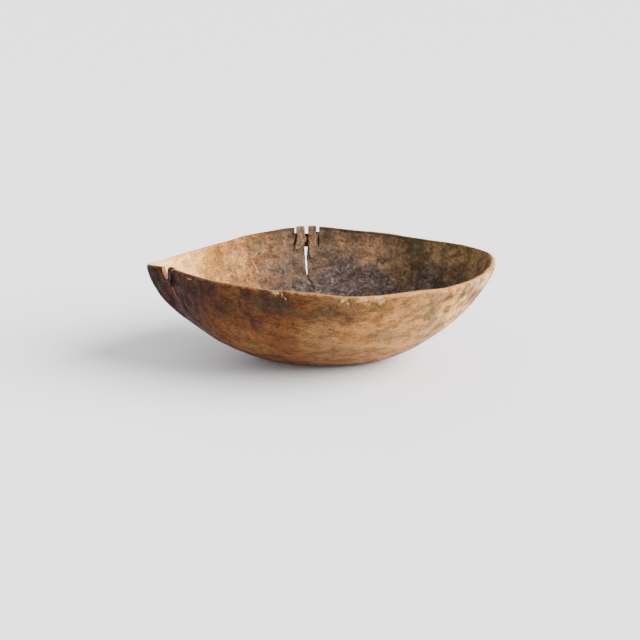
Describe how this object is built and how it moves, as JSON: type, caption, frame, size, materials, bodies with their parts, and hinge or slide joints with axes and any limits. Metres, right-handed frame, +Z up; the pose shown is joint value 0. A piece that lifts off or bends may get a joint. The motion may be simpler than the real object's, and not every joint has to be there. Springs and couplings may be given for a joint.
{
  "type": "carved wooden bowl",
  "caption": "Deep oblong bowl carved from one block of wood, pointed at one end, with cracks in its rim mended by hide straps and bands.",
  "frame": {"origin": "on the surface that the bowl rests on, below the middle of the whole object's plan", "axes": "+X along the long axis, towards the rounded end; -X towards the pointed tip; +Y towards the rim's mended back; +Z up, out of the bowl's mouth"},
  "size_m": [0.4698, 0.3126, 0.1418],
  "materials": {
    "carved_wood": "old hand-carved hardwood, dry and handled smooth, dark brown to tan",
    "old_hide": "dry blackened rawhide, matt"
  },
  "bodies": {
    "root": {"carved_bowl": "carved_wood", "back_band": "old_hide", "back_strap_left": "old_hide", "back_strap_right": "old_hide", "left_tie": "old_hide", "left_strap": "old_hide"}
  },
  "joints": []
}
